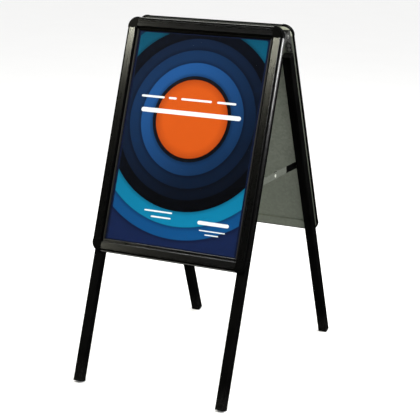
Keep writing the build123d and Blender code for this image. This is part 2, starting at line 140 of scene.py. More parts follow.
# small helpers for the materials; a value is either a number or another node's socket

noiseSpan = (0.3, 0.7)      # nearly all of a noise texture's values lie between these


def startMaterial(name):
    material = bpy.data.materials.new(name)
    material.use_nodes = True
    tree = material.node_tree
    tree.nodes.clear()
    output = tree.nodes.new("ShaderNodeOutputMaterial")
    shader = tree.nodes.new("ShaderNodeBsdfPrincipled")
    tree.links.new(shader.outputs[0], output.inputs["Surface"])
    return material, tree, shader


def isSocket(value):
    return isinstance(value, bpy.types.NodeSocket)


def feed(tree, value, socket):
    if isSocket(value):
        tree.links.new(value, socket)
    else:
        socket.default_value = value


def coat(tree, shader, base, satin, normal):
    feed(tree, base, shader.inputs["Base Color"])
    feed(tree, satin, shader.inputs["Roughness"])
    feed(tree, normal, shader.inputs["Normal"])


def colour(rgb):
    return (rgb[0], rgb[1], rgb[2], 1.0)


def arithmetic(tree, operation, first, second=0.0, clamp=False):
    node = tree.nodes.new("ShaderNodeMath")
    node.operation = operation
    node.use_clamp = clamp
    feed(tree, first, node.inputs[0])
    feed(tree, second, node.inputs[1])
    return node.outputs[0]


def times(tree, first, second):
    return arithmetic(tree, "MULTIPLY", first, second)


def larger(tree, first, second):
    return arithmetic(tree, "MAXIMUM", first, second)


def addShares(tree, *parts):
    # the sum of each value times its share
    total = None
    for value, share in parts:
        part = times(tree, value, share)
        total = part if total is None else arithmetic(tree, "ADD", total, part)
    return total


def distance(tree, x, y):
    # the square root of x squared plus y squared
    squares = arithmetic(tree, "ADD", times(tree, x, x), times(tree, y, y))
    return arithmetic(tree, "SQRT", squares)


def between(tree, value, low, high):
    # 0 below low, 1 above high and a smooth rise from one to the other
    node = tree.nodes.new("ShaderNodeMapRange")
    node.interpolation_type = "SMOOTHSTEP"
    feed(tree, value, node.inputs["Value"])
    node.inputs["From Min"].default_value = low
    node.inputs["From Max"].default_value = high
    return node.outputs["Result"]


def rescale(tree, value, span, newSpan):
    # the straight line that takes one span of values to another
    node = tree.nodes.new("ShaderNodeMapRange")
    feed(tree, value, node.inputs["Value"])
    node.inputs["From Min"].default_value, node.inputs["From Max"].default_value = span
    node.inputs["To Min"].default_value, node.inputs["To Max"].default_value = newSpan
    return node.outputs["Result"]


def blendColours(tree, amount, first, second, mode="MIX"):
    node = tree.nodes.new("ShaderNodeMix")
    node.data_type = "RGBA"
    node.blend_type = mode
    feed(tree, amount, node.inputs[0])
    feed(tree, first if isSocket(first) else colour(first), node.inputs[6])
    feed(tree, second if isSocket(second) else colour(second), node.inputs[7])
    return node.outputs[2]


def blendNumbers(tree, amount, first, second):
    node = tree.nodes.new("ShaderNodeMix")
    feed(tree, amount, node.inputs[0])
    feed(tree, first, node.inputs[2])
    feed(tree, second, node.inputs[3])
    return node.outputs[0]


def ramp(tree, amount, stops, kind="LINEAR"):
    node = tree.nodes.new("ShaderNodeValToRGB")
    node.color_ramp.interpolation = kind
    points = node.color_ramp.elements
    while len(points) > 1:
        points.remove(points[-1])
    points[0].position, points[0].color = stops[0][0], colour(stops[0][1])
    for place, rgb in stops[1:]:
        points.new(place).color = colour(rgb)
    feed(tree, amount, node.inputs[0])
    return node.outputs[0]


def twoTones(tree, amount, span, dark, light):
    return ramp(tree, amount, ((span[0], dark), (span[1], light)))


def objectPlace(tree):
    return tree.nodes.new("ShaderNodeTexCoord").outputs["Object"]


def mapped(tree, place, shift=(0, 0, 0), turn=(0, 0, 0), scale=(1, 1, 1)):
    node = tree.nodes.new("ShaderNodeMapping")
    node.inputs["Location"].default_value = shift
    node.inputs["Rotation"].default_value = turn
    node.inputs["Scale"].default_value = scale
    tree.links.new(place, node.inputs["Vector"])
    return node.outputs[0]


def noise(tree, place, scale, detail=2.0, roughness=0.5):
    node = tree.nodes.new("ShaderNodeTexNoise")
    node.inputs["Scale"].default_value = scale
    node.inputs["Detail"].default_value = detail
    node.inputs["Roughness"].default_value = roughness
    tree.links.new(place, node.inputs["Vector"])
    return node.outputs[0]


def stretchedNoise(tree, place, scale, detail=2.0, roughness=0.5):
    # scale has a value for each axis, so the pattern is longer along the axes with small ones
    return noise(tree, mapped(tree, place, scale=scale), 1.0, detail=detail, roughness=roughness)


def bump(tree, height, strength, depth, under=None):
    node = tree.nodes.new("ShaderNodeBump")
    node.inputs["Strength"].default_value = strength
    node.inputs["Distance"].default_value = depth
    tree.links.new(height, node.inputs["Height"])
    if under is not None:
        tree.links.new(under, node.inputs["Normal"])
    return node.outputs[0]


def splitXyz(tree, place):
    node = tree.nodes.new("ShaderNodeSeparateXYZ")
    tree.links.new(place, node.inputs[0])
    return node.outputs[0], node.outputs[1], node.outputs[2]


# each board's own axes: up it, from the hinge line of its left lid, across it and out of its face

def boardAxes(board):
    along = Vector(jointByName[f"{board}_left_lid_hinge"]["axis"])
    up = along if along.z > 0 else -along
    facing = -1.0 if board == "front" else 1.0
    across = Vector((-facing, 0.0, 0.0))
    out = across.cross(up)
    return across, up, out


def boardPlace(tree, board):
    # object coordinates turned so that x runs across the board, y up it and z out of its face,
    # counted from the middle of its poster
    across, up, out = boardAxes(board)
    low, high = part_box(f"{board}_poster")
    centre = (Vector(low) + Vector(high)) / 2
    turned = Matrix((across, up, out))
    return mapped(tree, objectPlace(tree), shift=-(turned @ centre), turn=turned.to_euler("XYZ"))


frameMargins = (0.0240, 0.0285)   # the frame past the poster's edges: at the sides, and above and below


def posterHalves(board):
    low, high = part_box(f"{board}_poster")
    return (high[0] - low[0]) / 2, math.hypot(high[1] - low[1], high[2] - low[2]) / 2


def fromOuterEdge(tree, place, board, runs):
    # how far inward from the frame's outer edge, across an upright rail or down a level one
    axis = 0 if runs == "Upright" else 1
    aside = arithmetic(tree, "ABSOLUTE", splitXyz(tree, place)[axis])
    return arithmetic(tree, "SUBTRACT", posterHalves(board)[axis] + frameMargins[axis], aside)


def strip(tree, value, low, high, soft=0.0003):
    # 1 between low and high, 0 outside
    rise = between(tree, value, low - soft, low + soft)
    fall = between(tree, value, high - soft, high + soft)
    return arithmetic(tree, "SUBTRACT", rise, fall, clamp=True)


# black coated aluminium, rails and lids
railCoating = {
    "dark": (0.0006, 0.0006, 0.0005),
    "light": (0.0018, 0.0018, 0.0016),
    "toneSpan": (0.30, 0.70),       # the grain's values that give dark and light
    "lineSpacing": 0.0007,          # die lines, a little under a millimetre apart
    "lineLength": 0.25,
    "lineDepth": 0.000010,
    "lineStrength": 0.35,
    "lineShare": 0.6,               # of the tone, and the broad streaks' share
    "streakShare": 0.4,
    "streakScale": 0.11,            # against the die lines' scale
    "roughness": (0.24, 0.32),
    "roughSpan": (0.25, 0.75),
    "smudgeScale": 22.0,
    "smudge": (-0.010, 0.020),      # what finger marks add to the roughness
    "bare": (0.16, 0.16, 0.15),     # aluminium at the specks rubbed through on the edges
    "rubbedScale": 260.0,
    "rubbedSpan": (0.68, 0.76),     # higher is rarer
    "rubbedShare": 0.35,
    "edgeHeight": (0.0088, 0.0094), # of the outermost edges, over the poster
    "anisotropy": 0.95,
    "quarterTurn": 0.25,            # sets the shine across the die lines
    "bend": 1.95,                   # index of refraction of the hard, shiny coat
    # strips along the rails that differ, as distances in from the frame's outer edge
    "groove": (0.0031, 0.0078),     # the hinge groove beside the lid
    "lip": (0.0262, 0.0390),        # the slope and lip beside the poster
    "slope": (0.0263, 0.0311),
    "shoulder": (0.0016, 0.0031),   # the part of a level rail's shoulder given a painted highlight line
    # painted highlight: the colour of the lighter line along the level rails' shoulders
    "paintedShoulderHighlight": (0.115, 0.115, 0.108),
    "dull": 0.92,                   # roughness of the dull strips
    # painted shade: how fully the shaded strips turn to black metal
    "blackMetal": 0.9,
}


def railGrain(tree, place, runs):
    # fine die lines along the rail, and the tone that they and broader streaks give together
    fine, coarse = 1 / railCoating["lineSpacing"], 1 / railCoating["lineLength"]
    scale = (fine, coarse, fine) if runs == "Upright" else (coarse, fine, fine)
    broadScale = tuple(part * railCoating["streakScale"] for part in scale)
    lines = stretchedNoise(tree, place, scale, detail=3.0, roughness=0.6)
    streaks = stretchedNoise(tree, place, broadScale, detail=1.0)
    return lines, addShares(tree, (lines, railCoating["lineShare"]), (streaks, railCoating["streakShare"]))


def railStrips(tree, place, board, runs):
    # where the rail gets a black finish as painted shade, where it is dull, and where a painted highlight
    # line makes it lighter
    x, y = splitXyz(tree, place)[:2]
    inward = fromOuterEdge(tree, place, board, runs)
    groove = strip(tree, inward, *railCoating["groove"])
    lip = strip(tree, inward, *railCoating["lip"])
    if runs == "Level":
        # painted shade: the bottom rail's lip faces the light and keeps its shine, but the top rail's lip
        # and the outer walls are in the dark and get the black finish
        lip = times(tree, lip, arithmetic(tree, "GREATER_THAN", y, 0.0))
        wall = arithmetic(tree, "LESS_THAN", inward, railCoating["shoulder"][0])
        black = larger(tree, groove, larger(tree, lip, wall))
        # painted highlight: the strip along the shoulder that is coloured lighter
        shoulderHighlight = strip(tree, inward, *railCoating["shoulder"])
    else:
        # painted shade: the lips' slopes and the left rails' outer walls are turned away from the light and
        # get the black finish
        slope = strip(tree, inward, *railCoating["slope"])
        wall = arithmetic(tree, "LESS_THAN", inward, railCoating["groove"][0])
        wall = times(tree, arithmetic(tree, "LESS_THAN", x, 0.0), wall)
        black = larger(tree, groove, larger(tree, slope, wall))
        shoulderHighlight = 0.0
    return black, larger(tree, black, lip), shoulderHighlight


def railTangent(tree, board, runs):
    across, up, out = boardAxes(board)
    along = tree.nodes.new("ShaderNodeCombineXYZ")
    for index, part in enumerate(up if runs == "Upright" else across):
        along.inputs[index].default_value = part
    toRoom = tree.nodes.new("ShaderNodeVectorTransform")
    toRoom.vector_type = "VECTOR"
    toRoom.convert_from, toRoom.convert_to = "OBJECT", "WORLD"
    tree.links.new(along.outputs[0], toRoom.inputs[0])
    return toRoom.outputs[0]


def makeRailCoating(board, runs):
    material, tree, shader = startMaterial(f"{board}RailCoating{runs}")
    place = boardPlace(tree, board)
    lines, tone = railGrain(tree, place, runs)
    base = twoTones(tree, tone, railCoating["toneSpan"], railCoating["dark"], railCoating["light"])
    speckled = noise(tree, place, railCoating["rubbedScale"], detail=3.0)
    specks = between(tree, speckled, *railCoating["rubbedSpan"])
    edge = between(tree, splitXyz(tree, place)[2], *railCoating["edgeHeight"])
    rubbed = times(tree, times(tree, specks, edge), railCoating["rubbedShare"])
    base = blendColours(tree, rubbed, base, railCoating["bare"])
    smudge = noise(tree, place, railCoating["smudgeScale"], detail=3.0, roughness=0.62)
    satin = rescale(tree, tone, railCoating["roughSpan"], railCoating["roughness"])
    marks = rescale(tree, smudge, noiseSpan, railCoating["smudge"])
    satin = arithmetic(tree, "ADD", satin, marks, clamp=True)
    black, dull, shoulderHighlight = railStrips(tree, place, board, runs)
    # painted highlight: a lighter line along the level rails' shoulders, where light catches them
    base = blendColours(tree, shoulderHighlight, base, railCoating["paintedShoulderHighlight"])
    satin = larger(tree, satin, times(tree, dull, railCoating["dull"]))
    coat(tree, shader, base, satin, bump(tree, lines, railCoating["lineStrength"], railCoating["lineDepth"]))
    # painted shade: a black metal finish mirrors almost nothing, so the grooves, slopes, outer walls and top
    # lip it is put on read dark as if in shade
    feed(tree, times(tree, black, railCoating["blackMetal"]), shader.inputs["Metallic"])
    shader.inputs["IOR"].default_value = railCoating["bend"]
    shader.inputs["Anisotropic"].default_value = railCoating["anisotropy"]
    shader.inputs["Anisotropic Rotation"].default_value = railCoating["quarterTurn"]
    tree.links.new(railTangent(tree, board, runs), shader.inputs["Tangent"])
    return material


# black powder coat on the legs
legCoating = {
    "dark": (0.0006, 0.0006, 0.0006),
    "light": (0.0020, 0.0020, 0.0019),
    "patchScale": 17.0,
    "patchSpan": (0.32, 0.72),
    "roughness": (0.46, 0.62),
    "specular": 0.05,
    "peelScale": 620.0,             # orange peel of the coat
    "peelDepth": 0.000035,
    "peelStrength": 0.5,
    "dust": (0.060, 0.056, 0.050),
    "dustTop": 0.085,               # height that floor dust reaches
    "dustScale": 420.0,
    "dustSpan": (0.50, 0.68),
    "dustShare": 0.30,
    "dustRoughness": 0.5,           # what full dust adds
}


def makeLegCoating():
    material, tree, shader = startMaterial("legCoating")
    place = objectPlace(tree)
    peel = noise(tree, place, legCoating["peelScale"])
    patch = noise(tree, place, legCoating["patchScale"], detail=4.0, roughness=0.6)
    base = twoTones(tree, patch, legCoating["patchSpan"], legCoating["dark"], legCoating["light"])
    height = splitXyz(tree, place)[2]
    nearFloor = arithmetic(tree, "SUBTRACT", 1.0, between(tree, height, 0.0, legCoating["dustTop"]))
    specks = between(tree, noise(tree, place, legCoating["dustScale"], detail=3.0), *legCoating["dustSpan"])
    dust = times(tree, times(tree, nearFloor, specks), legCoating["dustShare"])
    base = blendColours(tree, dust, base, legCoating["dust"])
    satin = rescale(tree, patch, noiseSpan, legCoating["roughness"])
    satin = arithmetic(tree, "ADD", satin, times(tree, dust, legCoating["dustRoughness"]), clamp=True)
    coat(tree, shader, base, satin, bump(tree, peel, legCoating["peelStrength"], legCoating["peelDepth"]))
    shader.inputs["Specular IOR Level"].default_value = legCoating["specular"]
    return material


# moulded plastic: corners, caps and feet
mouldings = {
    "cornerMoulding": {
        "dark": (0.0006, 0.0006, 0.0007), "light": (0.0018, 0.0018, 0.0017), "roughness": (0.34, 0.46),
        "specular": 0.05, "textureScale": 1500.0, "textureDepth": 0.000020,
    },
    "plugMoulding": {
        "dark": (0.0012, 0.0012, 0.0012), "light": (0.0042, 0.0042, 0.0040), "roughness": (0.52, 0.70),
        "specular": 0.20, "textureScale": 900.0, "textureDepth": 0.000040,
    },
}
mouldedFlow = {
    "scale": 45.0,          # of the flow marks, longer up and down
    "stretch": (1.0, 1.0, 0.35),
    "flowShare": 0.6,       # of the roughness, and the spark texture's share
    "sparkShare": 0.4,
    "sparkStrength": 0.6,
}


def makeMoulding(name):
    settings = mouldings[name]
    material, tree, shader = startMaterial(name)
    place = objectPlace(tree)
    sparked = noise(tree, place, settings["textureScale"], roughness=0.7)
    flow = noise(tree, mapped(tree, place, scale=mouldedFlow["stretch"]), mouldedFlow["scale"], detail=3.0)
    base = twoTones(tree, flow, noiseSpan, settings["dark"], settings["light"])
    tone = addShares(tree, (flow, mouldedFlow["flowShare"]), (sparked, mouldedFlow["sparkShare"]))
    satin = rescale(tree, tone, noiseSpan, settings["roughness"])
    relief = bump(tree, sparked, mouldedFlow["sparkStrength"], settings["textureDepth"])
    coat(tree, shader, base, satin, relief)
    shader.inputs["Specular IOR Level"].default_value = settings["specular"]
    return material


# galvanised steel sheet behind each poster
galvanisedSheet = {
    "tones": ((0.26, (0.190, 0.207, 0.170)), (0.50, (0.222, 0.242, 0.198)), (0.74, (0.254, 0.275, 0.226))),
    "spangle": 150.0,               # crystals across a metre
    "crystalDepth": 0.00004,
    "crystalStrength": 0.10,
    "warpScale": 60.0,              # bends the crystals' edges
    "warp": 0.004,
    "mottleScale": 7.0,
    "rolledScale": (260.0, 2.0, 260.0),   # rolling lines, up the sheet
    "rolledDepth": 0.00002,
    "rolledStrength": 0.25,
    "crystalShare": 0.30,           # shares of the tone
    "mottleShare": 0.48,
    "rolledShare": 0.22,
    "metal": 0.35,
    "roughness": (0.60, 0.42),      # of dark and of light crystals
    "handled": (0.16, 0.17, 0.15),
    "handledScale": 55.0,
    "handledStretch": (1.0, 0.25, 1.0),
    "handledSpan": (0.62, 0.74),
    "handledShare": 0.35,
    # painted shade: the sheet is coloured darker towards its foot
    "paintedFootShade": (0.090, 0.104, 0.078),   # darker towards the foot
    "paintedFootShadeSpan": (-0.24, 0.0),
    "paintedFootShadeShare": 0.55,
    # painted highlight: the pressed rim is coloured bright at the upper corners, where light falls on it
    "rim": (0.90, 0.93, 0.76),      # the pressed rim is bright at the upper corners
    "paintedHighlightHeight": (0.292, 0.300),
    "paintedHighlightAside": (0.195, 0.205),
    "paintedHighlightShare": 0.95,
}


def zincCrystals(tree, place):
    # cells with slightly bent edges, each with a value of its own
    warp = noise(tree, place, galvanisedSheet["warpScale"])
    bent = tree.nodes.new("ShaderNodeVectorMath")
    bent.operation = "MULTIPLY_ADD"
    tree.links.new(warp, bent.inputs[0])
    bent.inputs[1].default_value = (galvanisedSheet["warp"],) * 3
    tree.links.new(place, bent.inputs[2])
    cells = tree.nodes.new("ShaderNodeTexVoronoi")
    cells.inputs["Scale"].default_value = galvanisedSheet["spangle"]
    cells.inputs["Randomness"].default_value = 1.0
    tree.links.new(bent.outputs[0], cells.inputs["Vector"])
    return splitXyz(tree, cells.outputs["Color"])[0]


def makeGalvanisedSheet(board):
    material, tree, shader = startMaterial(f"{board}GalvanisedSheet")
    place = boardPlace(tree, board)
    crystal = zincCrystals(tree, place)
    mottle = noise(tree, place, galvanisedSheet["mottleScale"], detail=4.0, roughness=0.55)
    rolled = stretchedNoise(tree, place, galvanisedSheet["rolledScale"])
    tone = addShares(
        tree,
        (crystal, galvanisedSheet["crystalShare"]),
        (mottle, galvanisedSheet["mottleShare"]),
        (rolled, galvanisedSheet["rolledShare"]),
    )
    base = ramp(tree, tone, galvanisedSheet["tones"])
    smears = noise(tree, mapped(tree, place, scale=galvanisedSheet["handledStretch"]),
                   galvanisedSheet["handledScale"], detail=4.0, roughness=0.7)
    handled = between(tree, smears, *galvanisedSheet["handledSpan"])
    handled = times(tree, handled, galvanisedSheet["handledShare"])
    base = blendColours(tree, handled, base, galvanisedSheet["handled"])
    x, y = splitXyz(tree, place)[:2]
    # painted shade: darker towards the foot of the sheet
    foot = arithmetic(tree, "SUBTRACT", 1.0, between(tree, y, *galvanisedSheet["paintedFootShadeSpan"]))
    foot = times(tree, foot, galvanisedSheet["paintedFootShadeShare"])
    base = blendColours(tree, foot, base, galvanisedSheet["paintedFootShade"])
    # painted highlight on the rim at the sheet's upper corners
    aside = between(tree, arithmetic(tree, "ABSOLUTE", x), *galvanisedSheet["paintedHighlightAside"])
    corner = times(tree, between(tree, y, *galvanisedSheet["paintedHighlightHeight"]), aside)
    corner = times(tree, corner, galvanisedSheet["paintedHighlightShare"])
    base = blendColours(tree, corner, base, galvanisedSheet["rim"])
    lines = bump(tree, rolled, galvanisedSheet["rolledStrength"], galvanisedSheet["rolledDepth"])
    relief = bump(tree, crystal, galvanisedSheet["crystalStrength"], galvanisedSheet["crystalDepth"],
                  under=lines)
    coat(tree, shader, base, rescale(tree, tone, noiseSpan, galvanisedSheet["roughness"]), relief)
    shader.inputs["Metallic"].default_value = galvanisedSheet["metal"]
    return material


# plain steels: brackets, links, rivets, pins and springs; roughness is given for dull and for bright
steels = {
    "bracketSteel": {
        "dull": (0.050, 0.051, 0.050), "bright": (0.135, 0.136, 0.130), "spots": (0.34, 0.34, 0.32),
        "metal": 0.75, "roughness": (0.52, 0.36), "grain": (160.0, 160.0, 160.0), "spotSpan": (0.60, 0.68),
    },
    "staySteel": {
        "dull": (0.104, 0.114, 0.094), "bright": (0.166, 0.180, 0.150), "spots": (0.10, 0.11, 0.09),
        "metal": 0.40, "roughness": (0.50, 0.34), "grain": (900.0, 14.0, 900.0), "spotSpan": (0.66, 0.74),
    },
    "rivetSteel": {
        "dull": (0.36, 0.36, 0.35), "bright": (0.62, 0.62, 0.60), "spots": (0.75, 0.75, 0.73),
        "metal": 0.90, "roughness": (0.40, 0.24), "grain": (500.0, 500.0, 500.0), "spotSpan": (0.62, 0.70),
    },
    "springSteel": {
        "dull": (0.090, 0.095, 0.110), "bright": (0.24, 0.25, 0.28), "spots": (0.12, 0.10, 0.06),
        "metal": 1.0, "roughness": (0.36, 0.22), "grain": (700.0, 60.0, 60.0), "spotSpan": (0.60, 0.68),
    },
}
steelWear = {
    "cloudScale": 90.0,
    "grainShare": 0.55,         # of the tone, and the clouds' share
    "cloudShare": 0.45,
    "toneSpan": (0.34, 0.66),
    "spotScale": 380.0,
    "spotShare": 0.6,
    "grainDepth": 0.00003,
    "grainStrength": 0.3,
}


def steelFinish(tree, settings):
    place = objectPlace(tree)
    grain = stretchedNoise(tree, place, settings["grain"], detail=3.0)
    cloud = noise(tree, place, steelWear["cloudScale"], detail=3.0)
    tone = addShares(tree, (grain, steelWear["grainShare"]), (cloud, steelWear["cloudShare"]))
    base = twoTones(tree, tone, steelWear["toneSpan"], settings["dull"], settings["bright"])
    spots = between(tree, noise(tree, place, steelWear["spotScale"]), *settings["spotSpan"])
    base = blendColours(tree, times(tree, spots, steelWear["spotShare"]), base, settings["spots"])
    satin = rescale(tree, tone, noiseSpan, settings["roughness"])
    return place, base, satin, bump(tree, grain, steelWear["grainStrength"], steelWear["grainDepth"])


def makeSteel(name):
    material, tree, shader = startMaterial(name)
    place, base, satin, normal = steelFinish(tree, steels[name])
    coat(tree, shader, base, satin, normal)
    shader.inputs["Metallic"].default_value = steels[name]["metal"]
    return material


# front links: bright where the middle pivot's peened end stands out of their outer faces
peenedEnd = {
    "middle": (0.0, 0.55025),    # front to back, and up
    "radius": 0.0046,
    "start": 0.20175,            # how far aside the end starts to stand out
    "bright": (0.60, 0.62, 0.55),
}


def makeFrontLinkSteel():
    material, tree, shader = startMaterial("frontLinkSteel")
    place, base, satin, normal = steelFinish(tree, steels["staySteel"])
    x, y, z = splitXyz(tree, place)
    along = arithmetic(tree, "SUBTRACT", y, peenedEnd["middle"][0])
    above = arithmetic(tree, "SUBTRACT", z, peenedEnd["middle"][1])
    onDisc = arithmetic(tree, "LESS_THAN", distance(tree, along, above), peenedEnd["radius"])
    proud = arithmetic(tree, "GREATER_THAN", arithmetic(tree, "ABSOLUTE", x), peenedEnd["start"])
    base = blendColours(tree, times(tree, onDisc, proud), base, peenedEnd["bright"])
    coat(tree, shader, base, satin, normal)
    shader.inputs["Metallic"].default_value = steels["staySteel"]["metal"]
    return material


# rear links: dipped black at the leg end, bare steel towards the middle pivot
dippedLink = {
    "dipEnd": (0.0780, 0.0796),     # metres from the middle of the stand, front to back
    "raggedScale": 140.0,
    "ragged": (-0.0015, 0.0015),
    "black": (0.0035, 0.0035, 0.0035),
    "thinBlack": (0.008, 0.008, 0.008),
    "runScale": 70.0,
    "roughness": (0.42, 0.52),
    "roughScale": 300.0,
    "blackMetal": 0.95,
}


def makeDippedLink():
    material, tree, shader = startMaterial("dippedLink")
    place, base, satin, normal = steelFinish(tree, steels["staySteel"])
    uneven = rescale(tree, noise(tree, place, dippedLink["raggedScale"]), noiseSpan, dippedLink["ragged"])
    away = arithmetic(tree, "ADD", splitXyz(tree, place)[1], uneven)
    dipped = between(tree, away, *dippedLink["dipEnd"])
    runs = noise(tree, place, dippedLink["runScale"], detail=3.0)
    lacquer = blendColours(tree, runs, dippedLink["black"], dippedLink["thinBlack"])
    lacquerSatin = noise(tree, place, dippedLink["roughScale"])
    lacquerSatin = rescale(tree, lacquerSatin, noiseSpan, dippedLink["roughness"])
    base = blendColours(tree, dipped, base, lacquer)
    satin = blendNumbers(tree, dipped, satin, lacquerSatin)
    coat(tree, shader, base, satin, normal)
    metal = larger(tree, times(tree, dipped, dippedLink["blackMetal"]), steels["staySteel"]["metal"])
    feed(tree, metal, shader.inputs["Metallic"])
    return material


# printed poster: stacked rings round a plain disc, the maker's own plain arrangement
poster = {
    "discCentre": (0.004, 0.060),
    "discRadius": 0.106,
    "disc": (0.60, 0.088, 0.006),
    "discShade": (0.72, 0.66, 0.70),             # the disc's tone at its very edge
    "discShadeSpan": (0.084, 0.105, 0.10605),    # where that starts, is deepest and stops
    # outer radius of each ring and its colour, from the disc outwards
    "rings": (
        (0.1155, (0.007, 0.008, 0.014)),
        (0.152, (0.012, 0.078, 0.255)),
        (0.187, (0.005, 0.026, 0.085)),
        (0.218, (0.0035, 0.012, 0.038)),
        (0.248, (0.0012, 0.0026, 0.0085)),
        (0.290, (0.002, 0.190, 0.350)),
        (0.324, (0.003, 0.066, 0.210)),
        (0.400, (0.006, 0.014, 0.060)),
    ),
    "fieldSize": 0.42,
    "shadowWidth": 0.011,          # each ring casts a printed shadow on the next
    "shadowDepth": 0.45,
    "shadowEdge": 0.0005,          # of the field
    # printed light: a direction, how far it reaches either way, and the light at its two ends
    "innerSlope": (-0.7, 0.9),     # the inner rings fade towards the lower right
    "innerReach": (-0.16, 0.16),
    "innerFade": (0.30, 1.00),
    "outerSlope": (0.15, -1.0),    # the outer ones fade towards the top
    "outerReach": (-0.28, 0.28),
    "outerFade": (0.34, 1.05),
    "fadeChange": (0.2482, 0.2487),
    "grainScale": 1400.0,
    "grainShare": (0.0, 0.08),
    "grain": (0.01, 0.014, 0.022),
    "bars": (          # middle across and up, half length, half height
        (-0.002, 0.074, 0.150, 0.0060),
        (-0.122, 0.111, 0.035, 0.0028), (-0.062, 0.111, 0.012, 0.0028), (0.010, 0.111, 0.046, 0.0028),
        (0.100, 0.111, 0.028, 0.0028),
        (-0.050, -0.196, 0.042, 0.0020), (-0.040, -0.211, 0.030, 0.0020),
        (0.117, -0.210, 0.046, 0.0048), (0.117, -0.230, 0.038, 0.0014), (0.117, -0.240, 0.020, 0.0014),
    ),
    "barColour": (0.80, 0.82, 0.84),
    "barEdge": 0.0004,
    # painted shadow: a dark band round the print's edge, standing for the shadow the frame's lips cast on
    # the poster
    "paintedLipShadow": (0.0040, 0.0075, 0.028),
    "paintedLipShadowWidth": (0.0185, 0.0110),   # at the sides, and at the top and bottom
    "paintedLipShadowEdge": 0.0006,
    "paper": (0.75, 0.75, 0.73),       # the plain back of the sheet
    "backSpan": (-0.00004, 0.0),
    "fibreScale": (500.0, 900.0, 500.0),
    "fibreDepth": 0.00001,
    "fibreStrength": 0.15,
    "roughness": (0.42, 0.52),
    "specular": 0.04,
}


def barMask(tree, x, y, bar):
    # a bar with round ends: the distance to its middle line is under half its height
    middleX, middleY, halfLength, halfHeight = bar
    aside = arithmetic(tree, "ABSOLUTE", arithmetic(tree, "SUBTRACT", x, middleX))
    pastX = larger(tree, arithmetic(tree, "SUBTRACT", aside, halfLength - halfHeight), 0.0)
    pastY = arithmetic(tree, "SUBTRACT", y, middleY)
    soft = poster["barEdge"]
    outside = between(tree, distance(tree, pastX, pastY), halfHeight - soft, halfHeight + soft)
    return arithmetic(tree, "SUBTRACT", 1.0, outside)


def ringInks(tree, radius):
    # flat inks by distance from the disc's centre, times a shadow just outside each ring's inner edge
    field = poster["fieldSize"]
    share = arithmetic(tree, "DIVIDE", radius, field)
    deep = (1.0 - poster["shadowDepth"],) * 3
    flat = [(0.0, poster["disc"])]
    shade = [(0.0, plainWhite)]
    start = poster["discRadius"]
    for end, rgb in poster["rings"]:
        flat.append((start / field, rgb))
        shade.append((start / field - poster["shadowEdge"], plainWhite))
        shade.append((start / field, deep))
        shade.append((min(start + poster["shadowWidth"], end) / field, plainWhite))
        start = end
    shadeStart, shadeDeepest, shadeStop = (part / field for part in poster["discShadeSpan"])
    discShade = ramp(tree, share, ((0.0, plainWhite), (shadeStart, plainWhite),
                                   (shadeDeepest, poster["discShade"]), (shadeStop, plainWhite)))
    inks = ramp(tree, share, flat, "CONSTANT")
    inks = blendColours(tree, 1.0, inks, ramp(tree, share, shade), "MULTIPLY")
    return blendColours(tree, 1.0, inks, discShade, "MULTIPLY")


def printedLight(tree, x, y, dx, dy, radius):
    innerX, innerY = poster["innerSlope"]
    outerX, outerY = poster["outerSlope"]
    inner = addShares(tree, (dx, innerX), (dy, innerY))
    inner = rescale(tree, inner, poster["innerReach"], poster["innerFade"])
    outer = addShares(tree, (x, outerX), (y, outerY))
    outer = rescale(tree, outer, poster["outerReach"], poster["outerFade"])
    light = blendNumbers(tree, between(tree, radius, *poster["fadeChange"]), inner, outer)
    light = larger(tree, light, arithmetic(tree, "LESS_THAN", radius, poster["discRadius"]))
    grey = tree.nodes.new("ShaderNodeCombineColor")
    for index in range(3):
        tree.links.new(light, grey.inputs[index])
    return grey.outputs[0]


# the band round the poster's edge that carries the painted lip shadow
def paintedLipShadowMask(tree, x, y, board):
    masks = []
    for value, half, width in zip((x, y), posterHalves(board), poster["paintedLipShadowWidth"]):
        inner = half - width
        aside = arithmetic(tree, "ABSOLUTE", value)
        masks.append(between(tree, aside, inner - poster["paintedLipShadowEdge"], inner))
    return larger(tree, *masks)


def makePosterPrint(board):
    material, tree, shader = startMaterial(f"{board}PosterPrint")
    place = boardPlace(tree, board)
    x, y, out = splitXyz(tree, place)
    centreX, centreY = poster["discCentre"]
    dx = arithmetic(tree, "SUBTRACT", x, centreX)
    dy = arithmetic(tree, "SUBTRACT", y, centreY)
    radius = distance(tree, dx, dy)
    inks = ringInks(tree, radius)
    inks = blendColours(tree, 1.0, inks, printedLight(tree, x, y, dx, dy, radius), "MULTIPLY")
    grain = rescale(tree, noise(tree, place, poster["grainScale"]), noiseSpan, poster["grainShare"])
    inks = blendColours(tree, grain, inks, poster["grain"])
    for bar in poster["bars"]:
        inks = blendColours(tree, barMask(tree, x, y, bar), inks, poster["barColour"])
    # painted shadow of the lips round the poster's edge
    inks = blendColours(tree, paintedLipShadowMask(tree, x, y, board), inks, poster["paintedLipShadow"])
    inks = blendColours(tree, between(tree, out, *poster["backSpan"]), poster["paper"], inks)
    fibre = stretchedNoise(tree, place, poster["fibreScale"], detail=4.0)
    satin = rescale(tree, fibre, noiseSpan, poster["roughness"])
    coat(tree, shader, inks, satin, bump(tree, fibre, poster["fibreStrength"], poster["fibreDepth"]))
    shader.inputs["Specular IOR Level"].default_value = poster["specular"]
    return material


# clear cover: a thin sheet, tucked under the lips and slightly bowed between them
clearCover = {
    "bow": 0.00055,         # outward, at the middle
    "ripple": 0.00014,
    "ripples": (2.3, 3.1),  # waves across and up the sheet
    "rippleStart": (0.7, -0.4),
    "columns": 56,
    "rows": 80,
    "tint": (0.975, 0.985, 0.985),
    "roughness": (0.055, 0.105),
    "hazeScale": 35.0,
    "hazeShare": 0.6,       # of the roughness, and the wiping marks' share
    "wipeScale": (8.0, 60.0, 60.0),
    "wipeShare": 0.4,
    "waveDepth": 0.0002,
    "waveStrength": 0.12,
    "headOn": 0.035,        # share of light that each face mirrors head on
    "grazingPower": 5.0,
}


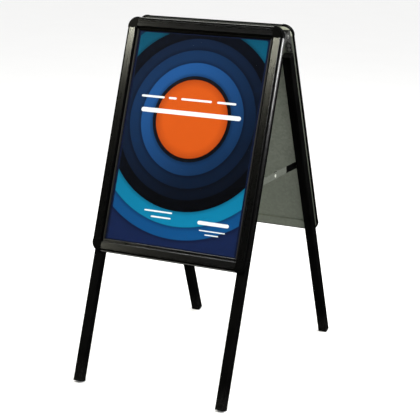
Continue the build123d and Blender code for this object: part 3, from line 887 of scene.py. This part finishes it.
def makeClearCoverFinish():
    material, tree, shader = startMaterial("clearCover")
    place = objectPlace(tree)
    haze = noise(tree, place, clearCover["hazeScale"], detail=4.0, roughness=0.65)
    wipe = stretchedNoise(tree, place, clearCover["wipeScale"])
    marks = addShares(tree, (haze, clearCover["hazeShare"]), (wipe, clearCover["wipeShare"]))
    waves = bump(tree, haze, clearCover["waveStrength"], clearCover["waveDepth"])
    coat(tree, shader, colour(plainWhite), rescale(tree, marks, noiseSpan, clearCover["roughness"]), waves)
    shader.inputs["Metallic"].default_value = 1.0
    through = tree.nodes.new("ShaderNodeBsdfTransparent")
    through.inputs["Color"].default_value = colour(clearCover["tint"])
    # each face mirrors a small share head on and more towards grazing, by a power of how far it turns away
    turned = tree.nodes.new("ShaderNodeLayerWeight")
    turned.inputs["Blend"].default_value = 0.5
    tree.links.new(waves, turned.inputs["Normal"])
    grazing = arithmetic(tree, "POWER", turned.outputs["Facing"], clearCover["grazingPower"])
    headOn = clearCover["headOn"]
    mirrored = arithmetic(tree, "ADD", times(tree, grazing, 1.0 - headOn), headOn, clamp=True)
    both = tree.nodes.new("ShaderNodeMixShader")
    tree.links.new(mirrored, both.inputs[0])
    tree.links.new(through.outputs[0], both.inputs[1])
    tree.links.new(shader.outputs[0], both.inputs[2])
    output = next(node for node in tree.nodes if node.type == "OUTPUT_MATERIAL")
    tree.links.new(both.outputs[0], output.inputs["Surface"])
    return material


def coverSize(node, up):
    # the sheet leans, so its box gives two equations for its height along the board and its gauge
    low, high = (Vector(corner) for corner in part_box(node))
    size = high - low
    sine, cosine = abs(up.y), abs(up.z)
    height = (size.z * cosine - size.y * sine) / (cosine ** 2 - sine ** 2)
    gauge = (size.y * cosine - size.z * sine) / (cosine ** 2 - sine ** 2)
    return (low + high) / 2, size.x, height, gauge


def buildClearCover(board, finish):
    # Height over the flat sheet: (1 - u^2)(1 - v^2) times a bow plus a small ripple, so the edges stay
    # flat under the lips. u and v run from -1 to 1. The front and the back are the same surface, one
    # gauge apart, and a strip of faces round the rim joins them.
    node = f"{board}_clear_cover"
    across, up, out = (np.array(axis) for axis in boardAxes(board))
    centre, width, height, gauge = coverSize(node, Vector(up))
    columns, rows = clearCover["columns"], clearCover["rows"]
    u, v = np.meshgrid(np.linspace(-1, 1, columns), np.linspace(-1, 1, rows))
    wavesU, wavesV = clearCover["ripples"]
    startU, startV = clearCover["rippleStart"]
    ripple = np.sin(math.pi * wavesU * u + startU) * np.cos(math.pi * wavesV * v + startV)
    swell = (1 - u ** 2) * (1 - v ** 2) * (clearCover["bow"] + clearCover["ripple"] * ripple)
    flat = np.array(centre) + (u * width / 2)[..., None] * across + (v * height / 2)[..., None] * up
    front = flat + (swell + gauge / 2)[..., None] * out
    back = flat + (swell - gauge / 2)[..., None] * out
    points = np.concatenate((front.reshape(-1, 3), back.reshape(-1, 3)))
    index = np.arange(columns * rows).reshape(rows, columns)
    frontFaces = gridFaces(index)
    backFaces = frontFaces[:, ::-1] + columns * rows
    rim = np.concatenate((index[0, :-1], index[:-1, -1], index[-1, :0:-1], index[:0:-1, 0]))
    nextRim = np.roll(rim, -1)
    rimFaces = np.stack((rim, rim + columns * rows, nextRim + columns * rows, nextRim), axis=-1)
    faces = np.concatenate((frontFaces, backFaces, rimFaces))
    mesh = bpy.data.meshes.new(f"{board}ClearCover")
    mesh.from_pydata(points.tolist(), [], faces.tolist())
    smooth = np.ones(len(faces), dtype=bool)
    smooth[len(frontFaces) + len(backFaces):] = False
    mesh.polygons.foreach_set("use_smooth", smooth)
    mesh.materials.append(finish)
    mesh.update()
    piece = bpy.data.objects.new(f"{board}ClearCover", mesh)
    bpy.context.scene.collection.objects.link(piece)
    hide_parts(node)
    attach(piece, f"{board}_board")
    return piece


def gridFaces(index):
    # one quad for each cell of a grid of point numbers
    corners = (index[:-1, :-1], index[:-1, 1:], index[1:, 1:], index[1:, :-1])
    return np.stack(corners, axis=-1).reshape(-1, 4)


def keepLampOff(lampName, covers):
    # the lamp that shines along the rails would lie across the clear covers as a white patch
    unlit = bpy.data.collections.new("outOfRailLight")
    for cover in covers:
        unlit.objects.link(cover)
    bpy.data.objects[lampName].light_linking.receiver_collection = unlit
    for member in unlit.collection_objects:
        member.light_linking.link_state = "EXCLUDE"


paleFloor = {
    "reach": 30.0,
    "lines": 9,             # of the grid, each way
    "pale": (0.96, 0.96, 0.955),
    "darker": (0.95, 0.95, 0.945),
    "mottleScale": 3.0,
    "roughness": 0.85,
    "specular": 0.1,
}


def makeFloorFinish():
    material, tree, shader = startMaterial("paleFloor")
    mottle = noise(tree, objectPlace(tree), paleFloor["mottleScale"], detail=3.0)
    base = twoTones(tree, mottle, noiseSpan, paleFloor["darker"], paleFloor["pale"])
    feed(tree, base, shader.inputs["Base Color"])
    shader.inputs["Roughness"].default_value = paleFloor["roughness"]
    shader.inputs["Specular IOR Level"].default_value = paleFloor["specular"]
    return material


def layFloor():
    # a flat square grid at z = 0, wide enough to run out of every view
    reach, lines = paleFloor["reach"], paleFloor["lines"]
    x, y = np.meshgrid(np.linspace(-reach, reach, lines), np.linspace(-reach, reach, lines))
    points = np.stack((x, y, np.zeros_like(x)), axis=-1).reshape(-1, 3)
    faces = gridFaces(np.arange(lines * lines).reshape(lines, lines))
    mesh = bpy.data.meshes.new("paleFloor")
    mesh.from_pydata(points.tolist(), [], faces.tolist())
    mesh.materials.append(makeFloorFinish())
    floor = bpy.data.objects.new("paleFloor", mesh)
    bpy.context.scene.collection.objects.link(floor)
    floor.visible_glossy = False


def dress(node, material):
    nodes[node].data.materials.clear()
    nodes[node].data.materials.append(material)


def dressFrames():
    for board in boards:
        upright = makeRailCoating(board, "Upright")
        level = makeRailCoating(board, "Level")
        for part in ("base_rail", "snap_lid"):
            for side in sides:
                dress(f"{board}_{side}_{part}", upright)
            for side in ("top", "bottom"):
                dress(f"{board}_{side}_{part}", level)
        dress(f"{board}_backing_tray", makeGalvanisedSheet(board))
        dress(f"{board}_poster", makePosterPrint(board))


def dressFittings():
    coating = makeLegCoating()
    corner = makeMoulding("cornerMoulding")
    plug = makeMoulding("plugMoulding")
    bracket = makeSteel("bracketSteel")
    stay = makeFrontLinkSteel()
    rivet = makeSteel("rivetSteel")
    spring = makeSteel("springSteel")
    dipped = makeDippedLink()
    for board in boards:
        for side in sides:
            dress(f"{board}_{side}_leg", coating)
            dress(f"{board}_upper_{side}_corner", corner)
            dress(f"{board}_lower_{side}_corner", corner)
            dress(f"{board}_{side}_hinge_bracket", bracket)
        dress(f"{board}_leg_caps", plug)
        dress(f"{board}_foot_plugs", plug)
        dress(f"{board}_lid_springs", spring)
        dress(f"{board}_leg_rivets", coating)     # painted over with the legs
        dress(f"{board}_hinge_rivets", rivet)
        dress(f"{board}_stay_leg_rivets", rivet)
    for side in sides:
        dress(f"{side}_hinge_pin", rivet)
        dress(f"{side}_stay_middle_rivet", rivet)
        dress(f"{side}_front_stay_link", stay)
        dress(f"{side}_rear_stay_link", dipped)


def layCovers():
    finish = makeClearCoverFinish()
    covers = [buildClearCover(board, finish) for board in boards]
    keepLampOff("railBox", covers)


placeCamera()
for name, settings in softboxes.items():
    addSoftbox(name, settings)
lightRoom()
layFloor()
print("studio ready")
dressFrames()
print("frames dressed")
dressFittings()
print("fittings dressed")
layCovers()
print("clear covers built")
